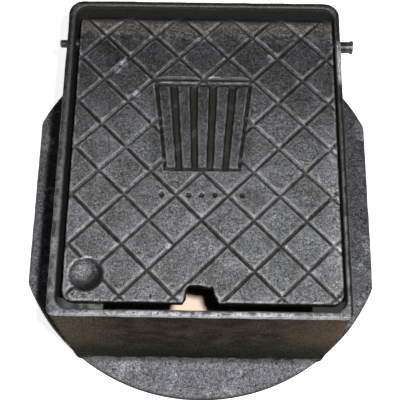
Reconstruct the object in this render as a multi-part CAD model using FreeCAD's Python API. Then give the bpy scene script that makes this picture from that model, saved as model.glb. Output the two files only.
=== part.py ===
import FreeCAD, Part
import math
import os

# Cast-iron surface box for a stopcock: a deep rectangular frame on a wide bedding flange,
# a hinged lid with a scored diamond pattern, and the steel bar that the lid turns on.
# Millimetres. The origin is at the middle of the flange's outline, on its underside.
# +Z is up, -Y is the front, where the lid opens, and +Y is the hinge side.

V = FreeCAD.Vector
UP = V(0, 0, 1)
RIGHT = V(1, 0, 0)

# Frame: walls and rim
body_width = 165.0          # across the side walls, outside
body_depth = 197.0          # over the front and back walls, outside
total_height = 125.0        # underside of the flange to the top of the rim
wall = 3.75                 # thickness of the four walls
core_shift = 0.65           # the core that made the inside sat this far to the right
front_corner_radius = 4.0   # outside corners of the front wall
back_corner_radius = 9.0    # outside corners of the back wall
inner_corner_radius = 7.5   # corners of the opening
rim_outer_round = 1.4
rim_inner_round = 0.9

# Frame: bedding flange
flange_width = 235.0        # across the two flat sides
flange_length = 274.0       # over the two round ends
flange_end_rise = 76.5      # how far a round end stands out from the ends of the flat sides
body_setback = 12.0         # the walls' middle is this far in front of the flange's
flange_thickness = 7.0
flange_corner_radius = 12.0
flange_top_round = 2.0
flange_bottom_round = 0.8
foot_radius = 5.0           # fillet where the walls stand on the flange

# Frame: the two seats that carry the lid's front corners
left_seat_length = 25.5
right_seat_length = 18.0
seat_depth = 8.0
seat_nose = 4.0
seat_slope = 9.0
seat_clearance = 0.2

# Hinge
axis_below_rim = 12.5
axis_from_back_wall = 19.75  # from the inner face of the back wall
pin_diameter = 7.0
pin_hole_play = 0.2         # the holes in the lid are this much wider than the bar
pin_past_right = 9.0
pin_past_left = 5.8
pin_tip_diameter = 4.8
pin_tip_length = 5.0
pin_head_diameter = 8.0
pin_head_length = 1.4
pin_bevel = 0.6
burr_height = 1.6           # the lip that the hammer raised on the spread end
burr_width = 2.2
burr_root = 0.8             # of the spread end's radius, where the lip starts

# Lid: plate
lid_drop = 1.5              # the lid's face lies this far below the rim
lid_thickness = 6.5
left_gap = 3.3
right_gap = 1.45
front_gap = 4.4
back_gap = 3.0
lid_front_corner_radius = 6.0
lid_back_corner_radius = 4.0
lid_corner_overrun = 0.5    # the back corners' rounding starts this far behind the plate
lid_edge_round = 0.7
roll_radius = 9.5           # the back edge rolls down with this radius
roll_drop = 16.0            # and ends this far below the lid's face

# Lid: hinge lugs
lug_radius = 7.5
lug_thickness = 8.0
lug_inset = 6.0

# Lid: scored lattice
lattice_pitch = 29.4        # between crossings, along the width and along the depth
lattice_x = 0.3             # one crossing, from the middle of the walls
lattice_y = -43.0
groove_top = 3.0
groove_bottom = 0.3
groove_depth = 0.9

# Lid: sunk panel with raised tapered bars
panel_rows_up = 3           # the top of the panel is this many pitches above the crossing
panel_rows_down = 1         # and its foot this many
panel_half_top = 29.0
panel_half_foot = 22.0
panel_depth = 2.0
panel_slope = 1.0           # how far the panel's walls lean out from floor to face
ridge_width = 1.1           # left standing between the ruled line and the panel
bar_count = 5
bar_share = 0.58            # of the spacing between two bars
bar_end_gap = 2.0
bar_root = 0.5              # how far the bars reach into the panel's floor
pip_places = (-22.6, -7.3, 0.0, 7.3, 22.6)
pip_row = 0.5               # in pitches above the crossing
pip_diameter = 3.2
pip_depth = 1.0

# Lid: round dish at the front left
dish_x = -62.4
dish_y = -75.2
dish_diameter = 18.6
dish_depth = 6.0
dish_floor = 4.5            # iron left under the dish

# Lid: worn key slot at the front, each point from the middle of the walls
# and from the lid's front edge
slot_outline = (
    (-9.6, -1.0), (-9.2, 0.6), (-7.4, 3.2), (-7.6, 6.4), (-6.3, 9.7),
    (0.4, 9.6), (3.2, 8.8), (5.5, 8.4), (6.7, 9.9), (7.5, 7.4),
    (8.2, 3.9), (9.6, 2.7), (10.0, 0.5), (11.2, -1.0),
)
chip_width = 1.8
chip_depth = 2.4

# Places worked out from the sizes above
flange_radius = ((flange_width / 2) ** 2 + flange_end_rise ** 2) / (2 * flange_end_rise)
body_y = -body_setback
body_left = -body_width / 2
body_right = body_width / 2
body_front = body_y - body_depth / 2
body_back = body_y + body_depth / 2
inner_left = body_left + wall + core_shift
inner_right = body_right - wall + core_shift
inner_front = body_front + wall
inner_back = body_back - wall
axis_y = inner_back - axis_from_back_wall
axis_z = total_height - axis_below_rim
lid_left = inner_left + left_gap
lid_right = inner_right - right_gap
lid_front = inner_front + front_gap
lid_back = inner_back - back_gap
lid_face = total_height - lid_drop
lid_under = lid_face - lid_thickness
lug_centres = (
    lid_left + lug_inset + lug_thickness / 2,
    lid_right - lug_inset - lug_thickness / 2,
)


def rounded_outline(left, right, front, back, front_radius, back_radius, z):
    """Closed outline of a rectangle with round corners, started in the middle of its front."""
    middle = (left + right) / 2
    corners = (
        (right, front, front_radius, -90),
        (right, back, back_radius, 0),
        (left, back, back_radius, 90),
        (left, front, front_radius, 180),
    )
    edges = []
    here = V(middle, front, z)
    for corner_x, corner_y, radius, start in corners:
        centre_x = corner_x - radius if corner_x == right else corner_x + radius
        centre_y = corner_y - radius if corner_y == back else corner_y + radius
        points = []
        for angle in (start, start + 45, start + 90):
            turn = math.radians(angle)
            points.append(V(centre_x + radius * math.cos(turn), centre_y + radius * math.sin(turn), z))
        edges.append(Part.LineSegment(here, points[0]).toShape())
        edges.append(Part.Arc(points[0], points[1], points[2]).toShape())
        here = points[2]
    edges.append(Part.LineSegment(here, V(middle, front, z)).toShape())
    return Part.Wire(edges)


def prism(outline, height):
    """Upright solid over a flat outline."""
    return Part.Face(outline).extrude(UP * height)


def wall_outline(grow, z):
    """Outline of the walls' outside, grown by the same amount all round."""
    return rounded_outline(
        body_left - grow, body_right + grow, body_front - grow, body_back + grow,
        front_corner_radius + grow, back_corner_radius + grow, z)


def edges_at(shape, z, test):
    """Edges that lie whole at one height and pass a test on their middle point."""
    found = []
    for edge in shape.Edges:
        box = edge.BoundBox
        level = abs(box.ZMin - z) < 0.01 and abs(box.ZMax - z) < 0.01
        if level and test(box.Center):
            found.append(edge)
    return found


def cylinder_along_x(start, end, diameter):
    """Round bar on the hinge axis between two places across the width."""
    return Part.makeCylinder(diameter / 2, end - start, V(start, axis_y, axis_z), RIGHT)


def make_flange():
    """Flat plate with two round ends and two straight sides."""
    half = flange_width / 2
    tip_y = flange_length / 2
    side_y = tip_y - flange_end_rise
    front_right = V(half, -side_y, 0)
    back_right = V(half, side_y, 0)
    back_left = V(-half, side_y, 0)
    front_left = V(-half, -side_y, 0)
    outline = Part.Wire([
        Part.LineSegment(front_right, back_right).toShape(),
        Part.Arc(back_right, V(0, tip_y, 0), back_left).toShape(),
        Part.LineSegment(back_left, front_left).toShape(),
        Part.Arc(front_left, V(0, -tip_y, 0), front_right).toShape(),
    ])
    plate = prism(outline, flange_thickness)
    corners = [edge for edge in plate.Edges if edge.BoundBox.ZLength > flange_thickness / 2]
    plate = plate.makeFillet(flange_corner_radius, corners)
    top = edges_at(plate, flange_thickness, lambda middle: True)
    plate = plate.makeFillet(flange_top_round, top)
    bottom = edges_at(plate, 0, lambda middle: True)
    return plate.makeFillet(flange_bottom_round, bottom)


def make_foot():
    """Hollow fillet that runs round the walls where they stand on the flange."""
    band = prism(wall_outline(foot_radius, flange_thickness / 2), foot_radius + flange_thickness / 2)
    path = wall_outline(foot_radius, flange_thickness + foot_radius)
    start = V((body_left + body_right) / 2, body_front - foot_radius, flange_thickness + foot_radius)
    ring = Part.Wire([Part.Circle(start, RIGHT, foot_radius).toShape()])
    groove = path.makePipeShell([ring], True, False)
    foot = band.cut(groove)
    middle_y = flange_radius - flange_length / 2
    front_end = Part.makeCylinder(
        flange_radius - flange_top_round, total_height, V(0, middle_y, 0), UP)
    behind = Part.makeBox(
        flange_width, flange_length, total_height, V(-flange_width / 2, middle_y, 0))
    return foot.common(front_end.fuse(behind))


def make_seat(left, right):
    """Ledge on the inside of the front wall, with a slope under it."""
    seat_top = lid_under - seat_clearance
    nose = seat_top - seat_nose
    front = inner_front - wall / 2
    outline = Part.makePolygon([
        V(left, front, seat_top),
        V(left, inner_front + seat_depth, seat_top),
        V(left, inner_front + seat_depth, nose),
        V(left, inner_front, nose - seat_slope),
        V(left, front, nose - seat_slope),
        V(left, front, seat_top),
    ])
    return Part.Face(outline).extrude(RIGHT * (right - left))


def make_frame():
    """One casting: flange, four walls, rim, and the two seats inside the front wall."""
    walls = prism(wall_outline(0, 0), total_height)
    frame = make_flange().fuse([walls, make_foot()])
    opening_outline = rounded_outline(
        inner_left, inner_right, inner_front, inner_back,
        inner_corner_radius, inner_corner_radius, -1)
    opening = prism(opening_outline, total_height + 2)
    frame = frame.cut(opening)
    seat_wall = wall / 2
    left_seat = make_seat(inner_left - seat_wall, inner_left + left_seat_length)
    right_seat = make_seat(inner_right - right_seat_length, inner_right + seat_wall)
    frame = frame.fuse([left_seat, right_seat])
    frame = frame.cut(cylinder_along_x(body_left - wall, body_right + wall, pin_diameter))
    frame = frame.removeSplitter()

    def on_outside(middle):
        beyond_x = middle.x < inner_left - wall / 2 or middle.x > inner_right + wall / 2
        beyond_y = middle.y < inner_front - wall / 2 or middle.y > inner_back + wall / 2
        return beyond_x or beyond_y

    outer = edges_at(frame, total_height, on_outside)
    frame = frame.makeFillet(rim_outer_round, outer)
    inner = edges_at(frame, total_height, lambda middle: not on_outside(middle))
    inner = [edge for edge in inner if inside_rim(edge)]
    return frame.makeFillet(rim_inner_round, inner)


def inside_rim(edge):
    """True for an edge of the opening, and not for one of the rounded outer edge."""
    box = edge.BoundBox
    margin = 0.01
    in_x = box.XMin > inner_left - margin and box.XMax < inner_right + margin
    in_y = box.YMin > inner_front - margin and box.YMax < inner_back + margin
    return in_x and in_y


def make_plate():
    """The lid's plate: flat, with its back edge rolled down behind the hinge."""
    inner_roll = roll_radius - lid_thickness
    slant = math.sin(math.radians(45))
    roll_y = lid_back - roll_radius
    roll_z = lid_face - roll_radius
    lip_end = lid_face - roll_drop
    x = lid_left

    def roll_point(radius):
        return V(x, roll_y + radius * slant, roll_z + radius * slant)

    lip_inside = lid_back - lid_thickness
    edges = [
        Part.LineSegment(V(x, lid_front, lid_face), V(x, roll_y, lid_face)).toShape(),
        Part.Arc(V(x, roll_y, lid_face), roll_point(roll_radius), V(x, lid_back, roll_z)).toShape(),
        Part.LineSegment(V(x, lid_back, roll_z), V(x, lid_back, lip_end)).toShape(),
        Part.LineSegment(V(x, lid_back, lip_end), V(x, lip_inside, lip_end)).toShape(),
        Part.LineSegment(V(x, lip_inside, lip_end), V(x, lip_inside, roll_z)).toShape(),
        Part.Arc(V(x, lip_inside, roll_z), roll_point(inner_roll), V(x, roll_y, lid_under)).toShape(),
        Part.LineSegment(V(x, roll_y, lid_under), V(x, lid_front, lid_under)).toShape(),
        Part.LineSegment(V(x, lid_front, lid_under), V(x, lid_front, lid_face)).toShape(),
    ]
    profile = Part.Face(Part.Wire(edges))
    plate = profile.extrude(RIGHT * (lid_right - lid_left))
    outline = rounded_outline(
        lid_left, lid_right, lid_front, lid_back + lid_corner_overrun,
        lid_front_corner_radius, lid_back_corner_radius, lip_end - 1)
    plate = plate.common(prism(outline, roll_drop + 2))
    flat = edges_at(plate, lid_face, lambda middle: middle.y < roll_y - 1)
    flat = [edge for edge in flat if edge.BoundBox.YMax <= roll_y + 0.01]
    return plate.makeFillet(lid_edge_round, flat)


def make_lugs():
    """Two lugs under the plate, each with a hole for the hinge bar."""
    lugs = []
    for centre in lug_centres:
        start = centre - lug_thickness / 2
        end = centre + lug_thickness / 2
        barrel = cylinder_along_x(start, end, 2 * lug_radius)
        web_height = lid_under + lid_thickness / 2 - axis_z
        web = Part.makeBox(
            lug_thickness, 2 * lug_radius, web_height, V(start, axis_y - lug_radius, axis_z))
        back_web = Part.makeBox(
            lug_thickness, lid_back - lid_thickness / 2 - axis_y, web_height, V(start, axis_y, axis_z))
        lugs.append(barrel.fuse([web, back_web]))
    return lugs


def groove_section(length):
    """A straight V-bottomed score, lying along +X and centred on the origin."""
    above = 1.0
    spread = (groove_top - groove_bottom) / 2 / groove_depth * above
    points = (
        (-groove_top / 2 - spread, above),
        (-groove_bottom / 2, -groove_depth),
        (groove_bottom / 2, -groove_depth),
        (groove_top / 2 + spread, above),
    )
    corners = [V(-length / 2, across, up) for across, up in points]
    corners.append(corners[0])
    return Part.Face(Part.makePolygon(corners)).extrude(RIGHT * length)


def straight_groove(start_x, start_y, end_x, end_y):
    """A score in the lid's face between two places measured from the middle of the walls."""
    length = math.hypot(end_x - start_x, end_y - start_y)
    turn = math.degrees(math.atan2(end_y - start_y, end_x - start_x))
    groove = groove_section(length)
    groove.rotate(V(0, 0, 0), UP, turn)
    middle_x = (start_x + end_x) / 2
    middle_y = body_y + (start_y + end_y) / 2
    groove.translate(V(middle_x, middle_y, lid_face))
    return groove


def lattice_grooves():
    """Two families of parallel scores at 45 degrees, that cross at the lattice's nodes."""
    reach = body_width / 2 + body_depth / 2
    lines = math.ceil(reach / lattice_pitch) + 1
    back = roll_limit()
    front = -body_depth / 2
    grooves = []
    for step in range(-lines, lines + 1):
        shift = step * lattice_pitch
        for lean in (1, -1):
            # where the line crosses the row of nodes at lattice_y
            across = lattice_x + shift
            start = (across + lean * (front - lattice_y), front)
            end = (across + lean * (back - lattice_y), back)
            clear_left = max(start[0], end[0]) < lid_left
            clear_right = min(start[0], end[0]) > lid_right
            if clear_left or clear_right:
                continue
            if lean == -1 and step == -1:
                # this score was never carried on below the second row of crossings
                stop_y = lattice_y - lattice_pitch / 2
                start = (across - (stop_y - lattice_y), stop_y)
            grooves.append(straight_groove(*start, *end))
    return grooves


def roll_limit():
    """Where the lid's flat face ends at the back, from the middle of the walls."""
    return lid_back - body_y


def make_panel_cutters():
    """The sunk field of the panel, and the line ruled over it from crossing to crossing."""
    top = lattice_y + panel_rows_up * lattice_pitch
    foot = lattice_y + panel_rows_down * lattice_pitch
    ruled = straight_groove(lattice_x - lattice_pitch, top, lattice_x + lattice_pitch, top)
    field_top = top - groove_top / 2 - ridge_width
    sections = []
    for grow, z in ((-panel_slope, lid_face - panel_depth), (0, lid_face), (panel_slope, lid_face + panel_depth)):
        sections.append(panel_outline(field_top + grow, foot - grow, grow, z))
    field = Part.makeLoft(sections, True, True)
    return [ruled, field]


def panel_outline(top, foot, grow, z):
    """Trapezoid outline of the panel at one height."""
    return Part.makePolygon([
        V(lattice_x - panel_half_top - grow, body_y + top, z),
        V(lattice_x + panel_half_top + grow, body_y + top, z),
        V(lattice_x + panel_half_foot + grow, body_y + foot, z),
        V(lattice_x - panel_half_foot - grow, body_y + foot, z),
        V(lattice_x - panel_half_top - grow, body_y + top, z),
    ])


def make_bars():
    """Tapered bars that stand on the panel's floor, up to the lid's face."""
    top = lattice_y + panel_rows_up * lattice_pitch - groove_top / 2 - ridge_width - bar_end_gap
    foot = lattice_y + panel_rows_down * lattice_pitch + bar_end_gap
    pitch_top = 2 * panel_half_top / bar_count
    pitch_foot = 2 * panel_half_foot / bar_count
    bars = []
    for number in range(bar_count):
        place = number - (bar_count - 1) / 2
        sections = []
        for lean, z in ((panel_slope / 2, lid_face - panel_depth - bar_root), (0, lid_face)):
            half_top = pitch_top * bar_share / 2 + lean
            half_foot = pitch_foot * bar_share / 2 + lean
            middle_top = lattice_x + place * pitch_top
            middle_foot = lattice_x + place * pitch_foot
            sections.append(Part.makePolygon([
                V(middle_top - half_top, body_y + top + lean, z),
                V(middle_top + half_top, body_y + top + lean, z),
                V(middle_foot + half_foot, body_y + foot - lean, z),
                V(middle_foot - half_foot, body_y + foot - lean, z),
                V(middle_top - half_top, body_y + top + lean, z),
            ]))
        bars.append(Part.makeLoft(sections, True, True))
    return bars


def make_pips():
    """A row of small round dimples under the panel."""
    row = body_y + lattice_y + pip_row * lattice_pitch
    return [
        Part.makeCylinder(pip_diameter / 2, pip_depth + 1, V(lattice_x + place, row, lid_face - pip_depth), UP)
        for place in pip_places
    ]


def make_slot():
    """The worn key slot, with the chip along its left side."""
    points = [V(x, lid_front + y, lid_under - 1) for x, y in slot_outline]
    points.append(points[0])
    slot = Part.Face(Part.makePolygon(points)).extrude(UP * (lid_thickness + 2))
    left = slot_outline[2][0]
    depth = slot_outline[4][1]
    chip = Part.makePolygon([
        V(left - chip_width, lid_front - 1, lid_face + 0.01),
        V(left + chip_width, lid_front - 1, lid_face + 0.01),
        V(left + chip_width, lid_front - 1, lid_face - 2 * chip_depth),
        V(left - chip_width, lid_front - 1, lid_face + 0.01),
    ])
    chip = Part.Face(chip).extrude(V(chip_width / 2, depth, 0))
    return [slot, chip]


def make_lid():
    """One casting: scored plate, sunk panel, dish, key slot and hinge lugs."""
    sphere_radius = ((dish_diameter / 2) ** 2 + dish_depth ** 2) / (2 * dish_depth)
    sphere_centre = V(dish_x, body_y + dish_y, lid_face - dish_depth + sphere_radius)
    under_boss = Part.makeSphere(sphere_radius + dish_floor, sphere_centre)
    plate_middle = lid_under + lid_thickness / 2
    below = Part.makeBox(body_width, body_depth, plate_middle, V(body_left, body_front, 0))
    under_boss = under_boss.common(below)
    lid = make_plate().fuse(make_lugs() + [under_boss])
    lid = lid.cut(lattice_grooves())
    lid = lid.cut(make_panel_cutters() + make_pips())
    lid = lid.fuse(make_bars())
    lid = lid.cut(make_slot() + [Part.makeSphere(sphere_radius, sphere_centre)])
    lid = lid.cut(cylinder_along_x(lid_left - 1, lid_right + 1, pin_diameter + pin_hole_play))
    return lid.removeSplitter()


def make_hinge_pin():
    """Cut length of round bar, hammered through the side walls: a spread end and a drawn-down tip."""
    right_end = body_right + pin_past_right
    left_end = body_left - pin_past_left
    shank = cylinder_along_x(left_end + pin_tip_length, right_end, pin_diameter)
    tip = cylinder_along_x(left_end, left_end + pin_tip_length + 1, pin_tip_diameter)
    head = cylinder_along_x(right_end - pin_head_length, right_end, pin_head_diameter)
    tip_edges = [edge for edge in tip.Edges if abs(edge.BoundBox.XMax - left_end) < 0.01]
    tip = tip.makeChamfer(pin_bevel, tip_edges)
    radius = pin_head_diameter / 2
    burr_foot = axis_z + radius * burr_root
    burr = Part.makePolygon([
        V(right_end - pin_head_length, axis_y - burr_width / 2, burr_foot),
        V(right_end - pin_head_length, axis_y + burr_width / 2, burr_foot),
        V(right_end - pin_head_length, axis_y + burr_width / 4, axis_z + radius + burr_height),
        V(right_end - pin_head_length, axis_y - burr_width / 2, burr_foot),
    ])
    burr = Part.Face(burr).extrude(RIGHT * pin_head_length)
    return shank.fuse([tip, head, burr]).removeSplitter()


def main():
    os.makedirs("parts", exist_ok=True)
    pieces = {
        "frame": make_frame(),
        "lid": make_lid(),
        "hinge_pin": make_hinge_pin(),
    }
    for name, shape in pieces.items():
        solids = shape.Solids
        print(name, "solids", len(solids), "valid", shape.isValid(), "volume", round(shape.Volume))
        if len(solids) == 1:
            shape = solids[0]
        shape.exportStep(os.path.join("parts", name + ".step"))


main()
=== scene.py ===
import math

import bpy
import numpy
from mathutils import Matrix


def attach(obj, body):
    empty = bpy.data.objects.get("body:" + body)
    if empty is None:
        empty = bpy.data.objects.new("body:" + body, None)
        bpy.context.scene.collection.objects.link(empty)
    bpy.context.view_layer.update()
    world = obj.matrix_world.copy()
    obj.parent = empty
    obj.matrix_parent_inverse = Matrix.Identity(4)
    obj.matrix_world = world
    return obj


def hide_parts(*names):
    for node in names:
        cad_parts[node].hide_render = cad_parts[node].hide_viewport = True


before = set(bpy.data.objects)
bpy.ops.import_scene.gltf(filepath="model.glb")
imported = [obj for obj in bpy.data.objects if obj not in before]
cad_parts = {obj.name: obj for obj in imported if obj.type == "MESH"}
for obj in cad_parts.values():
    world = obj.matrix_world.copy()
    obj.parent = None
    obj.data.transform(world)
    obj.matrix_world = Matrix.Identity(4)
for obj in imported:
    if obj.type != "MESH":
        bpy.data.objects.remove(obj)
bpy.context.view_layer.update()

# The frame of the box. It is one iron casting from a sand mould: a bedding flange, four
# walls and a rim. It left the foundry with a thin black coat, which the rim has lost to wear.
MM = 0.001
RIM_TOP = 125.0             # heights over the ground, in millimetres
FLANGE_TOP = 7.0
BODY_SETBACK = 12.0         # the walls' middle is this far in front of the flange's
FRONT_FACE = -110.5         # the front wall's outer face
BODY_HALF_WIDTH = 82.5
BODY_HALF_LENGTH = 98.5
BARE_METAL = (0.42, 0.42, 0.44, 1)
PIT_BLACK = (0.01, 0.01, 0.009, 1)


def skin_copy(node, name, cell):
    """A copy of a CAD node whose surface is made again from small even faces."""
    bpy.ops.object.select_all(action="DESELECT")
    piece = bpy.data.objects.new(name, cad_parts[node].data.copy())
    bpy.context.scene.collection.objects.link(piece)
    bpy.context.view_layer.objects.active = piece
    piece.select_set(True)
    bpy.ops.object.mode_set(mode="EDIT")
    bpy.ops.mesh.select_all(action="SELECT")
    bpy.ops.mesh.remove_doubles(threshold=0.001 * MM)
    bpy.ops.object.mode_set(mode="OBJECT")
    remesh = piece.modifiers.new("even skin", "REMESH")
    remesh.mode = "VOXEL"
    remesh.voxel_size = cell * MM
    remesh.use_smooth_shade = True
    bpy.ops.object.modifier_apply(modifier=remesh.name)
    return piece


def map_relief(piece, rounds=10):
    """Stores how far each point stands out of the surface round it, in millimetres."""
    mesh = piece.data
    count = len(mesh.vertices)
    places = numpy.empty(count * 3)
    normals = numpy.empty(count * 3)
    ends = numpy.empty(len(mesh.edges) * 2, dtype=numpy.int32)
    mesh.vertices.foreach_get("co", places)
    mesh.vertex_normals.foreach_get("vector", normals)
    mesh.edges.foreach_get("vertices", ends)
    places = places.reshape(-1, 3) / MM
    one_end, other_end = ends.reshape(-1, 2).T
    neighbours = numpy.bincount(ends, minlength=count) + 1.0
    evened = places.copy()
    for _ in range(rounds):
        total = evened.copy()
        for axis in range(3):
            total[:, axis] += numpy.bincount(one_end, evened[other_end, axis], count)
            total[:, axis] += numpy.bincount(other_end, evened[one_end, axis], count)
        evened = total / neighbours[:, None]
    stands_out = ((places - evened) * normals.reshape(-1, 3)).sum(axis=1)
    relief = mesh.attributes.new("relief", "FLOAT", "POINT")
    relief.data.foreach_set("value", stands_out.astype(numpy.float32))


def group_points(piece, name, chosen):
    """A vertex group of the points that a test on their place in millimetres picks."""
    group = piece.vertex_groups.new(name=name)
    picked = [vertex.index for vertex in piece.data.vertices if chosen(vertex.co / MM)]
    group.add(picked, 1.0, "REPLACE")


def roughen(piece, group, size, height):
    """Moves the surface in and out by a cloudy pattern, as the sand of the mould left it."""
    texture = bpy.data.textures.new("mould sand", "CLOUDS")
    texture.noise_scale = size * MM
    texture.noise_depth = 2
    lift = piece.modifiers.new("mould sand", "DISPLACE")
    lift.texture = texture
    lift.texture_coords = "LOCAL"
    lift.strength = height * MM
    lift.vertex_group = group
    bpy.context.view_layer.objects.active = piece
    bpy.ops.object.modifier_apply(modifier=lift.name)


def thin_out(piece, group, ratio):
    """Fewer and larger faces where nobody looks closely."""
    fewer = piece.modifiers.new("fewer faces", "DECIMATE")
    fewer.ratio = ratio
    fewer.vertex_group = group
    bpy.context.view_layer.objects.active = piece
    bpy.ops.object.modifier_apply(modifier=fewer.name)


def add_node(tree, kind, links=(), **settings):
    """A shader node with its settings, and with values or other nodes' outputs on its inputs."""
    made = tree.nodes.new(kind)
    for name, value in settings.items():
        setattr(made, name, value)
    for socket, value in dict(links).items():
        if isinstance(value, bpy.types.NodeSocket):
            tree.links.new(value, made.inputs[socket])
        else:
            made.inputs[socket].default_value = value
    return made


def maths(tree, operation, first, second=0.0, third=0.0):
    """One sum on up to three values."""
    made = add_node(tree, "ShaderNodeMath", {0: first, 1: second, 2: third}, operation=operation)
    return made.outputs[0]


def product(tree, first, *others):
    """Masks multiplied together, so that the result is high only where all of them are."""
    for other in others:
        first = maths(tree, "MULTIPLY", first, other)
    return first


def opposite(tree, mask):
    """Low where a mask is high, and high where it is low."""
    return maths(tree, "SUBTRACT", 1.0, mask)


def ramp_between(tree, value, low, high, start=0.0, end=1.0):
    """A smooth step from start to end as the value goes from low to high."""
    made = add_node(
        tree, "ShaderNodeMapRange",
        {"Value": value, "From Min": low, "From Max": high, "To Min": start, "To Max": end},
        interpolation_type="SMOOTHSTEP")
    return made.outputs["Result"]


def noise(tree, place, scale, detail, roughness):
    """Cloudy values round a half. The scale is in clouds to the millimetre."""
    made = add_node(
        tree, "ShaderNodeTexNoise",
        {"Vector": place, "Scale": scale, "Detail": detail, "Roughness": roughness})
    return made.outputs["Fac"]


def blend_colours(tree, share, first, second):
    """One colour over another by a mask."""
    made = add_node(tree, "ShaderNodeMix", {0: share, 6: first, 7: second}, data_type="RGBA")
    return made.outputs[2]


def new_group(name, inputs, outputs):
    """An empty shader node group with named values going in and coming out."""
    group = bpy.data.node_groups.new(name, "ShaderNodeTree")
    for label, kind, value in inputs:
        socket = group.interface.new_socket(name=label, in_out="INPUT", socket_type=kind)
        if value is not None:
            socket.default_value = value
    for label, kind in outputs:
        group.interface.new_socket(name=label, in_out="OUTPUT", socket_type=kind)
    return group, group.nodes.new("NodeGroupInput"), group.nodes.new("NodeGroupOutput")


def make_sand_skin():
    """Relief and blotches of a surface cast in sand, in millimetres."""
    labels = ("Height", "Pits", "Lumps", "Clumps", "Blotches", "Grain", "Speckle")
    group, given, result = new_group(
        "sand cast skin",
        [
            ("Place", "NodeSocketVector", None),
            ("Grain Size", "NodeSocketFloat", 0.8),
            ("Grain Height", "NodeSocketFloat", 0.12),
            ("Lump Height", "NodeSocketFloat", 0.15),
            ("Pit Spacing", "NodeSocketFloat", 4.0),
            ("Pit Depth", "NodeSocketFloat", 0.2),
        ],
        [(label, "NodeSocketFloat") for label in labels])
    place = given.outputs["Place"]
    grain_scale = maths(group, "DIVIDE", 1.0, given.outputs["Grain Size"])
    grain = noise(group, place, grain_scale, 4.0, 0.7)
    lumps = noise(group, place, 0.22, 3.0, 0.55)
    blotches = noise(group, place, 0.07, 5.0, 0.6)
    clumps = noise(group, place, 0.65, 2.0, 0.6)
    speckle = ramp_between(group, noise(group, place, 1.9, 2.0, 0.6), 0.33, 0.67)
    pit_scale = maths(group, "DIVIDE", 1.0, given.outputs["Pit Spacing"])
    cells = add_node(
        group, "ShaderNodeTexVoronoi",
        {"Vector": place, "Scale": pit_scale, "Randomness": 1.0}).outputs["Distance"]
    near_centre = ramp_between(group, cells, 0.12, 0.26, 1.0, 0.0)
    pits = product(group, near_centre, ramp_between(group, lumps, 0.42, 0.58))
    centred_grain = maths(group, "SUBTRACT", grain, 0.5)
    centred_lumps = maths(group, "SUBTRACT", lumps, 0.5)
    height = product(group, centred_grain, given.outputs["Grain Height"])
    height = maths(group, "MULTIPLY_ADD", centred_lumps, given.outputs["Lump Height"], height)
    pit_depth = product(group, pits, given.outputs["Pit Depth"])
    height = maths(group, "SUBTRACT", height, pit_depth)
    for label, value in zip(labels, (height, pits, lumps, clumps, blotches, grain, speckle)):
        group.links.new(value, result.inputs[label])
    return group


def make_rust_film():
    """Patchy brown film of rust over another colour, where a mask lets it form."""
    group, given, result = new_group(
        "rust film",
        [
            ("Place", "NodeSocketVector", None),
            ("Colour", "NodeSocketColor", (0.1, 0.1, 0.1, 1)),
            ("Cover", "NodeSocketFloat", 0.5),
        ],
        [("Colour", "NodeSocketColor"), ("Rust", "NodeSocketFloat")])
    place = given.outputs["Place"]
    patches = noise(group, place, 0.11, 6.0, 0.65)
    grains = noise(group, place, 0.9, 3.0, 0.6)
    low = maths(group, "MULTIPLY_ADD", opposite(group, given.outputs["Cover"]), 0.6, 0.12)
    high = maths(group, "ADD", low, 0.25)
    rust = ramp_between(group, patches, low, high)
    rust = product(group, rust, ramp_between(group, grains, 0.25, 0.55, 0.55, 1.0))
    shade = blend_colours(group, grains, (0.024, 0.015, 0.01, 1), (0.05, 0.03, 0.019, 1))
    colour = blend_colours(group, rust, given.outputs["Colour"], shade)
    group.links.new(colour, result.inputs["Colour"])
    group.links.new(rust, result.inputs["Rust"])
    return group


sand_skin = make_sand_skin()
rust_film = make_rust_film()


def start_material(name):
    """A new material, with its shader and its place on the piece in millimetres."""
    material = bpy.data.materials.new(name)
    material.use_nodes = True
    tree = material.node_tree
    shader = tree.nodes["Principled BSDF"]
    where = add_node(tree, "ShaderNodeTexCoord").outputs["Object"]
    place = add_node(
        tree, "ShaderNodeMapping", {"Vector": where, "Scale": (1 / MM, 1 / MM, 1 / MM)}).outputs[0]
    return material, tree, shader, place


def place_group(tree, group, links):
    """The outputs of one of the shared effects, set into a material."""
    return add_node(tree, "ShaderNodeGroup", links, node_tree=group).outputs


def bump_from(tree, shader, height):
    """Fine relief, with its height in millimetres."""
    bump = add_node(tree, "ShaderNodeBump", {"Height": height, "Strength": 1.0, "Distance": MM})
    tree.links.new(bump.outputs["Normal"], shader.inputs["Normal"])


def axes_of(tree, vector):
    """The values of a vector: to the right, to the back and up."""
    made = add_node(tree, "ShaderNodeSeparateXYZ", {0: vector})
    return made.outputs[0], made.outputs[1], made.outputs[2]


def brighten(tree, colour, factor):
    """A colour made lighter or darker by a factor."""
    made = add_node(tree, "ShaderNodeVectorMath", {0: colour, "Scale": factor}, operation="SCALE")
    return made.outputs["Vector"]


def brighten_where(tree, colour, mask, factor):
    """A colour made lighter or darker by a factor where a mask is high."""
    return brighten(tree, colour, ramp_between(tree, mask, 0.0, 1.0, 1.0, factor))


def distance_to(tree, place, centre):
    """How far a place is from one point."""
    made = add_node(tree, "ShaderNodeVectorMath", {0: place, 1: centre}, operation="DISTANCE")
    return made.outputs["Value"]


def spot(tree, place, centre, radius):
    """A soft round mask round one point, in millimetres."""
    return ramp_between(tree, distance_to(tree, place, centre), radius * 0.4, radius, 1.0, 0.0)


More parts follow.
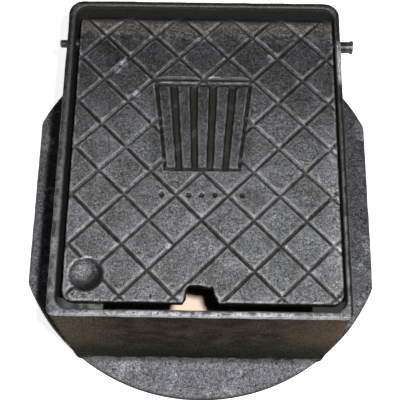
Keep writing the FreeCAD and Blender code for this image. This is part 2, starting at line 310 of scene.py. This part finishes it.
def wear_the_coat(tree, colour, skin, worn, dirty):
    """Bare metal on edges, light specks on the tips of the grain that are partly bare metal and partly
    painted glints, and dirt in the corners.
    """
    relief = add_node(tree, "ShaderNodeAttribute", attribute_name="relief").outputs["Fac"]
    colour = brighten(tree, colour, ramp_between(tree, skin["Speckle"], 0.0, 1.0, 1.85, 0.45))
    colour = brighten(tree, colour, ramp_between(tree, skin["Clumps"], 0.35, 0.65, 1.35, 0.68))
    # Painted glints, partly bare metal: light specks on the tips of the grain.
    glints = product(tree, ramp_between(tree, skin["Grain"], 0.64, 0.7, 0.0, 0.5), worn)
    colour = blend_colours(tree, glints, colour, (0.5, 0.5, 0.53, 1))
    in_places = ramp_between(tree, skin["Lumps"], 0.4, 0.58, 0.1, 1.0)
    broken = ramp_between(tree, skin["Clumps"], 0.35, 0.6, 0.35, 1.0)
    edges = product(tree, ramp_between(tree, relief, 0.05, 0.18), worn, in_places, broken)
    colour = blend_colours(tree, edges, colour, BARE_METAL)
    packed = product(tree, dirty, ramp_between(tree, skin["Lumps"], 0.6, 0.4, 0.7, 1.0))
    corners = product(tree, ramp_between(tree, relief, -0.02, -0.11), packed)
    return blend_colours(tree, corners, colour, (0.018, 0.019, 0.012, 1))


def looking_up(tree):
    """High where the surface looks up."""
    normal = add_node(tree, "ShaderNodeNewGeometry").outputs["Normal"]
    return ramp_between(tree, axes_of(tree, normal)[2], 0.25, 0.75)


def on_the_flange(tree, height):
    """High on the flange's upper face."""
    return product(tree, looking_up(tree), ramp_between(tree, height, 14.0, FLANGE_TOP + 1))


def on_the_rim(tree, height):
    """High on the rim, and nothing on the walls under it."""
    return ramp_between(tree, height, RIM_TOP - 3.5, RIM_TOP - 0.8)


def walked_on(tree, across, along, height):
    """High on the rim where feet wear it: most in front, least at the back."""
    to_front = ramp_between(tree, along, 60.0, -90.0, 0.03, 1.0)
    to_right = ramp_between(tree, across, -85.0, 0.0, 0.6, 1.0)
    off_right_side = ramp_between(tree, across, 60.0, 84.0, 1.0, 0.45)
    return product(tree, to_front, to_right, on_the_rim(tree, height), off_right_side)


def within_body(tree, across, along, half_width, half_length):
    """High inside a rectangle round the middle of the walls."""
    from_side = maths(tree, "ABSOLUTE", across)
    from_end = maths(tree, "ABSOLUTE", maths(tree, "ADD", along, BODY_SETBACK))
    return product(
        tree, ramp_between(tree, from_side, half_width, half_width + 1, 1.0, 0.0),
        ramp_between(tree, from_end, half_length, half_length + 1, 1.0, 0.0))


def uneven_height(tree, skin, height):
    """A height that goes up and down with the lumps, so that painted shade or a painted highlight has
    a cloudy edge.
    """
    return maths(tree, "MULTIPLY_ADD", skin["Lumps"], 40.0, height)


def colour_walls(tree, skin, place):
    """Brown-black, browner towards the front wall's ends, with painted shade under the rim and at its
    foot.
    """
    across, along, height = axes_of(tree, place)
    blotched = ramp_between(tree, skin["Blotches"], 0.35, 0.65)
    # The brown is partly the coat's own colour and partly painted warm light reflected up from the
    # ground.
    coat = blend_colours(tree, blotched, (0.03, 0.026, 0.0195, 1), (0.062, 0.053, 0.04, 1))
    from_centre = maths(tree, "ABSOLUTE", across)
    at_ends = product(
        tree, ramp_between(tree, from_centre, 35.0, BODY_HALF_WIDTH - 0.5, 0.0, 0.7),
        ramp_between(tree, along, FRONT_FACE + 8, FRONT_FACE + 3))
    coat = blend_colours(tree, at_ends, coat, (0.12, 0.093, 0.068, 1))
    # Painted shade: darker just under the rim and towards the foot, where the wall meets the flange.
    at_head = ramp_between(tree, height, RIM_TOP - 6, RIM_TOP - 2, 0.0, 0.6)
    at_foot = ramp_between(tree, uneven_height(tree, skin, height), 95.0, 45.0, 0.0, 0.88)
    shade_at_head_and_foot = maths(tree, "MAXIMUM", at_head, at_foot)
    return blend_colours(tree, shade_at_head_and_foot, coat, (0.022, 0.0245, 0.0195, 1))


def colour_flange(tree, coat, skin, place):
    """Dusty grey with pale patches, painted lighter towards the front, with a painted shadow beside
    the left wall and painted light just outside it, and rusty round its edge.
    """
    across, along, height = axes_of(tree, place)
    # Painted light: the flange is lighter towards the front, where the lamp's reflection falls, and
    # darker to the back and sides.
    dust_and_painted_light = brighten(
        tree, (0.125, 0.127, 0.137), ramp_between(tree, along, -20.0, -115.0, 0.7, 1.1))
    # Painted shadow on the flange beside the left wall, as a lamp right of the box would cast it.
    left_wall_shadow = product(
        tree, ramp_between(tree, across, -113.0, -109.0), ramp_between(tree, across, -82.0, -92.0))
    dust_and_painted_light = brighten_where(tree, dust_and_painted_light, left_wall_shadow, 0.5)
    # Painted light on the strip of flange just outside that shadow.
    dust_and_painted_light = brighten(tree, dust_and_painted_light, ramp_between(tree, across, -113.0, -109.0, 1.5, 1.0))
    pale_patches = product(tree, ramp_between(tree, skin["Blotches"], 0.52, 0.66), 0.6)
    dust_and_painted_light = blend_colours(tree, pale_patches, dust_and_painted_light, (0.27, 0.28, 0.31, 1))
    coat = blend_colours(tree, on_the_flange(tree, height), coat, dust_and_painted_light)
    on_edge = product(
        tree, opposite(tree, looking_up(tree)), ramp_between(tree, height, 9.0, FLANGE_TOP), 0.7)
    return blend_colours(tree, on_edge, coat, (0.1, 0.055, 0.03, 1))


def wear_rim(tree, coat, skin, place):
    """Worn grey, with wear and a painted highlight along the front edge, bright places at the back of
    the right side, a painted highlight along the inner edge and painted shade on the right lip.
    """
    across, along, height = axes_of(tree, place)
    on_rim = on_the_rim(tree, height)
    worn = walked_on(tree, across, along, height)
    coat = blend_colours(tree, worn, coat, (0.05, 0.05, 0.052, 1))
    # A lighter band along the rim's front edge: partly wear and partly a painted highlight where the
    # rounded edge faces the lamp.
    front_edge_highlight = product(
        tree, ramp_between(tree, along, FRONT_FACE + 1.6, FRONT_FACE + 0.6), on_rim,
        ramp_between(tree, skin["Clumps"], 0.35, 0.55, 0.25, 1.0))
    coat = blend_colours(tree, front_edge_highlight, coat, (0.28, 0.28, 0.295, 1))
    for rubbed_along in (53.0, 45.0, 37.0):
        rubbed = product(
            tree, spot(tree, place, (BODY_HALF_WIDTH - 2, rubbed_along, RIM_TOP), 8.0), on_rim,
            ramp_between(tree, skin["Clumps"], 0.4, 0.6, 0.3, 1.0))
        coat = blend_colours(tree, rubbed, coat, (0.6, 0.6, 0.62, 1))
    off_foot = ramp_between(tree, height, 20.0, 40.0)
    coat = wear_the_coat(tree, coat, skin, worn, product(tree, off_foot, 0.6))
    inner_half = within_body(tree, across, along, BODY_HALF_WIDTH - 2.9, BODY_HALF_LENGTH - 3.3)
    # Lighter along the rim's inner edge: partly polish and partly a painted highlight where the
    # rounding faces the lamp.
    inner_edge_highlight = product(
        tree, inner_half, on_rim, ramp_between(tree, skin["Speckle"], 0.2, 0.8, 1.0, 0.35),
        ramp_between(tree, skin["Clumps"], 0.35, 0.55, 0.5, 1.0))
    coat = blend_colours(tree, inner_edge_highlight, coat, (0.15, 0.155, 0.152, 1))
    # Painted shade: a dark line along the outer edge of the rim's right side.
    right_lip_shade = product(
        tree, ramp_between(tree, across, BODY_HALF_WIDTH - 2.1, BODY_HALF_WIDTH - 1.3), on_rim,
        ramp_between(tree, along, 30.0, 10.0), 0.85)
    return blend_colours(tree, right_lip_shade, coat, (0.012, 0.012, 0.011, 1))


def highlight_foot_and_pit(tree, coat, skin, place):
    """A painted highlight along the front wall's foot, and black pits where the coat is worn."""
    across, along, height = axes_of(tree, place)
    # Painted highlight on the fillet at the front wall's foot, which faces up towards the lamp.
    foot_highlight = product(
        tree, ramp_between(tree, height, FLANGE_TOP + 0.4, FLANGE_TOP + 1.4),
        ramp_between(tree, uneven_height(tree, skin, height), 31.0, 28.0),
        ramp_between(tree, along, FRONT_FACE + 4, FRONT_FACE + 1),
        ramp_between(tree, skin["Lumps"], 0.38, 0.55, 0.3, 1.0))
    coat = blend_colours(tree, foot_highlight, coat, (0.26, 0.265, 0.29, 1))
    worn_rim = walked_on(tree, across, along, height)
    trodden = maths(tree, "MAXIMUM", on_the_flange(tree, height), worn_rim)
    return blend_colours(tree, product(tree, skin["Pits"], trodden, 0.85), coat, PIT_BLACK)


def colour_inside(tree, coat, skin, place):
    """Unworn black inside the walls, and grey where the lid rubs on its left seat."""
    across, along, height = axes_of(tree, place)
    inside = within_body(tree, across, along, BODY_HALF_WIDTH - 2, BODY_HALF_LENGTH - 2.5)
    unworn = product(tree, inside, ramp_between(tree, height, RIM_TOP - 5, RIM_TOP - 2, 1.0, 0.0))
    coat = blend_colours(tree, unworn, coat, (0.028, 0.03, 0.027, 1))
    rubbed_seat = product(
        tree, unworn, looking_up(tree), ramp_between(tree, height, 105.0, 112.0),
        ramp_between(tree, skin["Lumps"], 0.4, 0.6, 0.1, 0.9),
        ramp_between(tree, across, 10.0, -10.0), ramp_between(tree, across, -77.0, -69.0))
    return blend_colours(tree, rubbed_seat, coat, (0.12, 0.12, 0.112, 1))


def stain_right_corner(tree, coat, skin, place):
    """Darker brown on the flange and spots of rust up the wall, at the front right corner."""
    across, along, height = axes_of(tree, place)
    darker_corner = product(
        tree, on_the_flange(tree, height), ramp_between(tree, across, 74.0, 80.0),
        ramp_between(tree, along, -84.0, -92.0), 0.75)
    coat = blend_colours(tree, darker_corner, coat, (0.045, 0.036, 0.028, 1))
    for spot_height, radius in ((108.0, 9.0), (98.0, 8.0), (88.0, 10.0), (76.0, 7.0)):
        rusty = product(
            tree, spot(tree, place, (BODY_HALF_WIDTH, FRONT_FACE, spot_height), radius),
            ramp_between(tree, skin["Clumps"], 0.4, 0.58, 0.3, 1.0))
        coat = blend_colours(tree, rusty, coat, (0.2, 0.1, 0.065, 1))
    return coat


def paint_frame_iron():
    """Black coat with brown walls, worn grey on the rim and dusty grey on the flange, with painted
    light and shade on all of them.
    """
    material, tree, shader, place = start_material("frame iron")
    skin = place_group(tree, sand_skin, {
        "Place": place, "Grain Size": 0.75, "Grain Height": 0.45, "Lump Height": 0.5,
        "Pit Spacing": 3.6, "Pit Depth": 0.2})
    coat = colour_walls(tree, skin, place)
    coat = colour_flange(tree, coat, skin, place)
    coat = wear_rim(tree, coat, skin, place)
    coat = highlight_foot_and_pit(tree, coat, skin, place)
    coat = colour_inside(tree, coat, skin, place)
    coat = stain_right_corner(tree, coat, skin, place)
    height = axes_of(tree, place)[2]
    on_rim = on_the_rim(tree, height)
    cover = ramp_between(tree, on_rim, 0.0, 1.0, 0.25, 0.05)
    rusted = place_group(tree, rust_film, {"Place": place, "Colour": coat, "Cover": cover})
    tree.links.new(rusted["Colour"], shader.inputs["Base Color"])
    dull = ramp_between(tree, skin["Grain"], 0.3, 0.7, 0.58, 0.4)
    tree.links.new(dull, shader.inputs["Roughness"])
    bare = maths(tree, "MAXIMUM", on_the_flange(tree, height), on_rim)
    tree.links.new(ramp_between(tree, bare, 0.0, 1.0, 0.0, 0.85), shader.inputs["Metallic"])
    shader.inputs["Specular IOR Level"].default_value = 0.0
    bump_from(tree, shader, skin["Height"])
    return material


def outside_of_walls(place):
    """True for the outer skin of the walls and flange and for the rim, but not underneath."""
    beyond_walls = abs(place.x) > 81 or place.y < -109 or place.y > 85
    return place.z > 2 and (beyond_walls or place.z > RIM_TOP - 5)


frame_casting = skin_copy("frame", "frame_casting", cell=0.75)
map_relief(frame_casting)
group_points(frame_casting, "outer skin", outside_of_walls)
roughen(frame_casting, "outer skin", size=14.0, height=0.6)
roughen(frame_casting, "outer skin", size=2.0, height=0.2)
group_points(frame_casting, "below the rim", lambda place: place.z < RIM_TOP - 8)
thin_out(frame_casting, "below the rim", ratio=0.22)
frame_casting.data.materials.clear()
frame_casting.data.materials.append(paint_frame_iron())
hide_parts("frame")
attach(frame_casting, "box_frame")

# The lid. It is one iron casting too, with a diamond pattern scored in its face, a sunk
# panel with five raised bars, a dish and a key slot. It lies on two seats inside the frame.
LID_FACE = 123.5
DISH_CENTRE = (-62.4, -87.2, 127.7)   # of the ball that fits the dish
DISH_RADIUS = 10.9
SCORE_CROSSING = (0.3, -55.0)
SCORE_PITCH = 29.4                    # between crossings, along the width and along the depth
ROLL_START = 61.0                     # where the plate starts to roll down at the back


def off_the_dish(tree, place):
    """Nothing in the dish, and high on the rest of the lid."""
    return ramp_between(tree, distance_to(tree, place, DISH_CENTRE), DISH_RADIUS, DISH_RADIUS + 0.5)


def in_the_panel(tree, across, along):
    """High in the sunk panel."""
    from_centre = maths(tree, "ABSOLUTE", across)
    lengthwise = product(
        tree, ramp_between(tree, along, -28.0, -24.0), ramp_between(tree, along, 29.0, 33.0, 1.0, 0.0))
    return product(tree, ramp_between(tree, from_centre, 27.0, 31.0, 1.0, 0.0), lengthwise)


def past_the_roll(tree, along):
    """High on the edge that is rolled down behind the hinge."""
    return ramp_between(tree, along, ROLL_START, ROLL_START + 10)


def near_scores(tree, measure, offset):
    """High along the scores that run one way, which are evenly spaced."""
    away = maths(tree, "PINGPONG", maths(tree, "SUBTRACT", measure, offset), SCORE_PITCH / 2)
    return ramp_between(tree, away, 2.8, 1.8)


def holds_dirt_off_lit_scores(tree, place):
    """High where dirt stays: off the dish, and less in those scores whose walls face the lamp, which
    is painted light.
    """
    across, along = axes_of(tree, place)[:2]
    crossing_across, crossing_along = SCORE_CROSSING
    rising = near_scores(
        tree, maths(tree, "SUBTRACT", across, along), crossing_across - crossing_along)
    falling = near_scores(tree, maths(tree, "ADD", across, along), crossing_across + crossing_along)
    on_left = ramp_between(tree, across, 30.0, -10.0)
    # Painted light: scores rising to the right on the left of the lid, and falling to the right on its
    # right, keep less dirt, so they look lit.
    lit_scores = maths(
        tree, "MAXIMUM", product(tree, rising, on_left),
        product(tree, falling, opposite(tree, on_left)))
    lit_scores = product(tree, lit_scores, ramp_between(tree, along, -70.0, -5.0))
    return product(tree, off_the_dish(tree, place), ramp_between(tree, lit_scores, 0.0, 1.0, 1.0, 0.3))


def colour_plate(tree, skin, place):
    """Scuffed grey, with painted shade darker to the back, darker in the panel, and with an oily patch
    at the back left.
    """
    across, along = axes_of(tree, place)[:2]
    blotched = ramp_between(tree, skin["Blotches"], 0.3, 0.7)
    coat = blend_colours(tree, blotched, (0.1, 0.102, 0.1, 1), (0.163, 0.166, 0.178, 1))
    # Painted shade: the plate darkens towards the back, where less of the lamp's reflection falls.
    coat = brighten(tree, coat, ramp_between(tree, along, -20.0, 60.0, 0.86, 0.42))
    coat = brighten_where(tree, coat, in_the_panel(tree, across, along), 0.72)
    for centre in ((-59.8, 59.7, LID_FACE), (-54.0, 54.0, LID_FACE), (-48.9, 47.4, LID_FACE)):
        oily = product(tree, spot(tree, place, centre, 6.5), 0.6)
        coat = blend_colours(tree, oily, coat, (0.015, 0.015, 0.013, 1))
    return coat


def colour_rolled_edge(tree, coat, skin, place):
    """Brownish grey on the rolled edge, with light places along its bend."""
    along = axes_of(tree, place)[1]
    coat = blend_colours(tree, past_the_roll(tree, along), coat, (0.16, 0.147, 0.128, 1))
    bend = product(
        tree, ramp_between(tree, along, ROLL_START - 5, ROLL_START),
        ramp_between(tree, along, ROLL_START + 6, ROLL_START + 3),
        ramp_between(tree, skin["Lumps"], 0.42, 0.58))
    return brighten_where(tree, coat, bend, 1.9)


def wear_plate(tree, coat, skin, place):
    """Bare edges, dirty scores, a chafed right edge and a few knocks."""
    across, along, height = axes_of(tree, place)
    worn = ramp_between(tree, in_the_panel(tree, across, along), 0.0, 1.0, 0.8, 0.35)
    coat = wear_the_coat(tree, coat, skin, worn, holds_dirt_off_lit_scores(tree, place))
    chafed = product(
        tree, ramp_between(tree, across, 66.0, 75.0), ramp_between(tree, along, 20.0, -20.0),
        ramp_between(tree, skin["Clumps"], 0.5, 0.6), 0.7)
    coat = blend_colours(tree, chafed, coat, BARE_METAL)
    knocks = (
        (-47.5, 44.0, 3.4), (-50.9, 39.1, 2.8), (-38.9, 23.2, 3.2), (75.2, -71.1, 3.2),
        (-18.0, -70.5, 2.3), (40.0, 49.4, 2.2))
    for knock_across, knock_along, radius in knocks:
        knock = product(
            tree, spot(tree, place, (knock_across, knock_along, LID_FACE), radius),
            ramp_between(tree, skin["Clumps"], 0.4, 0.6, 0.3, 1.0))
        coat = blend_colours(tree, knock, coat, (0.48, 0.49, 0.53, 1))
    low_down = ramp_between(tree, height, LID_FACE - 1.0, LID_FACE - 0.4, 1.0, 0.0)
    dirt = product(tree, low_down, holds_dirt_off_lit_scores(tree, place), 0.75)
    return blend_colours(tree, dirt, coat, (0.033, 0.034, 0.024, 1))


def shade_dish(tree, coat, place):
    """The dish, with painted light on its back left side and painted shade on its front right."""
    in_dish = opposite(tree, off_the_dish(tree, place))
    to_front_right = add_node(
        tree, "ShaderNodeVectorMath", {0: place, 1: (0.7, -0.7, 0.0)},
        operation="DOT_PRODUCT").outputs["Value"]
    # Painted light on the dish's back left side, which faces the lamp, and painted shade on its front
    # right side.
    painted_lit_side = product(tree, ramp_between(tree, to_front_right, 17.0, 10.0), in_dish)
    coat = brighten(tree, coat, ramp_between(tree, painted_lit_side, 0.0, 1.0, 0.88, 1.45))
    painted_shaded_side = product(tree, ramp_between(tree, to_front_right, 14.5, 22.0), in_dish, 0.8)
    return blend_colours(tree, painted_shaded_side, coat, (0.014, 0.015, 0.01, 1))


def shade_underside(tree, coat, skin, place):
    """Dark with brown clouds on the sides and the underside, as painted shade."""
    along, height = axes_of(tree, place)[1:]
    # Painted shade on the lid's sides and underside, which lie between the walls.
    unlit = product(
        tree, ramp_between(tree, height, LID_FACE - 3.4, LID_FACE - 2.6, 1.0, 0.0),
        off_the_dish(tree, place), opposite(tree, past_the_roll(tree, along)))
    clouds = ramp_between(tree, skin["Blotches"], 0.4, 0.6)
    underside_shade = blend_colours(tree, clouds, (0.02, 0.02, 0.018, 1), (0.045, 0.038, 0.03, 1))
    return blend_colours(tree, unlit, coat, underside_shade)


def paint_lid_iron():
    """Scuffed grey on the face, with dirt in the scores and rust along the hinge, and painted light
    and shade on the face, in the dish and underneath.
    """
    material, tree, shader, place = start_material("lid iron")
    along = axes_of(tree, place)[1]
    skin = place_group(tree, sand_skin, {
        "Place": place, "Grain Size": 0.7, "Grain Height": 0.45, "Lump Height": 0.3,
        "Pit Spacing": 3.2, "Pit Depth": 0.3})
    coat = colour_plate(tree, skin, place)
    coat = colour_rolled_edge(tree, coat, skin, place)
    coat = wear_plate(tree, coat, skin, place)
    coat = shade_dish(tree, coat, place)
    coat = shade_underside(tree, coat, skin, place)
    pitted = product(tree, skin["Pits"], ramp_between(tree, along, -88.0, -100.0), 0.85)
    coat = blend_colours(tree, pitted, coat, PIT_BLACK)
    cover = ramp_between(tree, along, ROLL_START - 3, ROLL_START + 17, 0.1, 0.4)
    rusted = place_group(tree, rust_film, {"Place": place, "Colour": coat, "Cover": cover})
    tree.links.new(rusted["Colour"], shader.inputs["Base Color"])
    dull = ramp_between(tree, skin["Grain"], 0.3, 0.7, 0.55, 0.38)
    tree.links.new(dull, shader.inputs["Roughness"])
    shader.inputs["Metallic"].default_value = 0.85
    bump_from(tree, shader, skin["Height"])
    return material


lid_casting = skin_copy("lid", "lid_casting", cell=0.66)
map_relief(lid_casting)
group_points(lid_casting, "face", lambda place: place.z > LID_FACE - 4)
roughen(lid_casting, "face", size=12.0, height=0.5)
roughen(lid_casting, "face", size=1.6, height=0.35)
group_points(lid_casting, "underside", lambda place: place.z < LID_FACE - 5)
thin_out(lid_casting, "underside", ratio=0.56)
lid_casting.data.materials.clear()
lid_casting.data.materials.append(paint_lid_iron())
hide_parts("lid")
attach(lid_casting, "box_lid")

# The hinge bar. It is a cut length of plain round steel that was driven through both side
# walls, with one end spread by the hammer and the other drawn down. The lid turns on it.


def paint_bar_steel():
    """Dark mill skin with light rust, rubbed bright where the hammer met it."""
    material, tree, shader, place = start_material("bar steel")
    skin = place_group(tree, sand_skin, {
        "Place": place, "Grain Size": 0.5, "Grain Height": 0.06, "Lump Height": 0.1,
        "Pit Spacing": 2.0, "Pit Depth": 0.05})
    mill_skin = blend_colours(
        tree, skin["Blotches"], (0.025, 0.024, 0.025, 1), (0.06, 0.06, 0.064, 1))
    rusted = place_group(tree, rust_film, {"Place": place, "Colour": mill_skin, "Cover": 0.35})
    from_centre = maths(tree, "ABSOLUTE", axes_of(tree, place)[0])
    struck = product(
        tree, ramp_between(tree, from_centre, BODY_HALF_WIDTH + 4, BODY_HALF_WIDTH + 5.5), 0.6)
    colour = blend_colours(tree, struck, rusted["Colour"], (0.12, 0.12, 0.128, 1))
    tree.links.new(colour, shader.inputs["Base Color"])
    dull = ramp_between(tree, rusted["Rust"], 0.0, 1.0, 0.38, 0.7)
    tree.links.new(dull, shader.inputs["Roughness"])
    shader.inputs["Metallic"].default_value = 0.8
    bump_from(tree, shader, skin["Height"])
    return material


bar_steel = paint_bar_steel()
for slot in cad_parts["hinge_pin"].material_slots:
    slot.material = bar_steel

# The floor under the box. It is plain and pale, and white to the eye all round the box,
# but inside the box's mouth it is only as bright as the light that falls through the lid.


def paint_floor():
    """Pale floor that looks white from above and keeps the box's shadow."""
    material, tree, shader, place = start_material("studio floor")
    shader.inputs["Roughness"].default_value = 0.9
    across, along = axes_of(tree, place)[:2]
    from_centre = maths(tree, "ABSOLUTE", across)
    from_middle = maths(tree, "ABSOLUTE", maths(tree, "ADD", along, BODY_SETBACK))
    outside = maths(
        tree, "MAXIMUM",
        ramp_between(tree, from_centre, BODY_HALF_WIDTH - 3.5, BODY_HALF_WIDTH - 0.5),
        ramp_between(tree, from_middle, BODY_HALF_LENGTH - 3.5, BODY_HALF_LENGTH - 0.5))
    rays = add_node(tree, "ShaderNodeLightPath").outputs
    seen = maths(tree, "ADD", rays["Is Camera Ray"], rays["Is Glossy Ray"])
    seen = maths(tree, "ADD", seen, rays["Is Transmission Ray"])
    glow = product(tree, outside, seen, 0.8)
    tree.links.new(glow, shader.inputs["Emission Strength"])
    shader.inputs["Emission Color"].default_value = (1, 1, 1, 1)
    bare_floor = blend_colours(tree, outside, (0.9, 0.74, 0.56, 1), (0.85, 0.85, 0.85, 1))
    tree.links.new(bare_floor, shader.inputs["Base Color"])
    return material


bpy.ops.object.select_all(action="DESELECT")
bpy.ops.mesh.primitive_plane_add(size=60.0)
floor = bpy.context.object
floor.name = "floor"
floor.data.materials.append(paint_floor())

# Light and camera. One soft lamp hangs just beside the camera, with faint light all round.
world = bpy.data.worlds.new("studio")
bpy.context.scene.world = world
world.use_nodes = True
backdrop = world.node_tree.nodes["Background"]
backdrop.inputs["Color"].default_value = (1, 1, 1, 1)
backdrop.inputs["Strength"].default_value = 0.15

bpy.ops.object.light_add(type="AREA", location=(0.036, -0.199, 0.599))
lamp = bpy.context.object
lamp.name = "studio lamp"
lamp.data.shape = "DISK"
lamp.data.size = 0.02
lamp.data.energy = 4.2
lamp.rotation_euler = Matrix.Rotation(math.radians(22.0), 3, "X").to_euler()

elevation = math.radians(69.03)
turn = math.radians(0.627)
roll = math.radians(0.222)
aimed_at = (-0.0007, -0.04385, 0.125)
distance = 0.4854
back = (
    math.sin(turn) * math.cos(elevation),
    -math.cos(turn) * math.cos(elevation),
    math.sin(elevation),
)
bpy.ops.object.camera_add(
    location=[start + distance * way for start, way in zip(aimed_at, back)])
camera = bpy.context.object
stand = Matrix.Rotation(turn, 3, "Z") @ Matrix.Rotation(math.pi / 2 - elevation, 3, "X")
camera.rotation_euler = (stand @ Matrix.Rotation(roll, 3, "Z")).to_euler()
camera.data.lens = 78.05
camera.data.sensor_width = 36.0
camera.data.clip_start = 0.01
bpy.context.scene.camera = camera
bpy.context.scene.view_settings.view_transform = "Standard"
